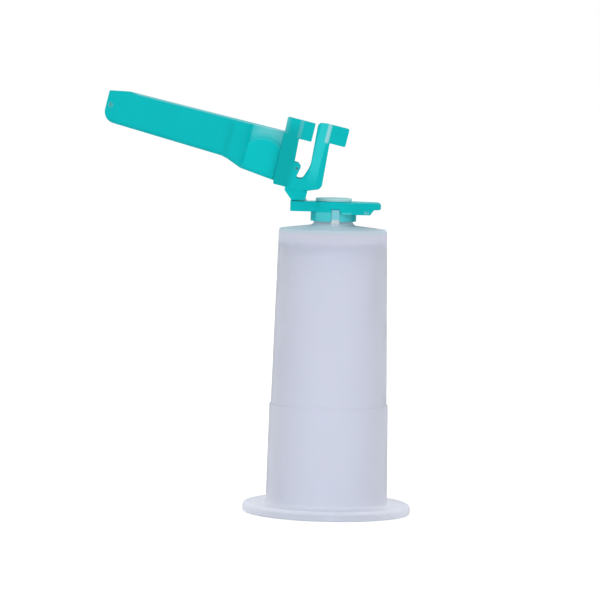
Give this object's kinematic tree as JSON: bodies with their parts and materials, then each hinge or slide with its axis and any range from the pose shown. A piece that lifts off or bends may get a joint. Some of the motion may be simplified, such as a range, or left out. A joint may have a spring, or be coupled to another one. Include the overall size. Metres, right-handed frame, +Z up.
{
  "type": "multiple sample adapter",
  "caption": "Flanged holder for blood collection tubes with a threaded needle socket and a hinged, latching needle shield lying open to one side.",
  "frame": {"origin": "centre of the tube mouth, on the underside of the flange", "axes": "+Z up along the barrel, out of the needle socket; -X towards the tip of the open shield; the shield's hinge runs along Y"},
  "size_m": [0.0597, 0.032, 0.0794],
  "materials": {
    "frosted_plastic": "frosted translucent polypropylene, fine matt surface",
    "teal_plastic": "translucent teal polypropylene, smooth with a soft sheen"
  },
  "bodies": {
    "holder": {"tube_holder": "frosted_plastic", "hinge_collar": "teal_plastic", "living_hinge": "teal_plastic"},
    "shield": {"needle_shield": "teal_plastic"}
  },
  "joints": [
    {"name": "shield_hinge", "type": "hinge", "parent": "holder", "child": "shield", "pos_m": [-0.00536, 0, 0.0595], "axis": [0, 1, 0], "range_deg": [0, 76]}
  ]
}
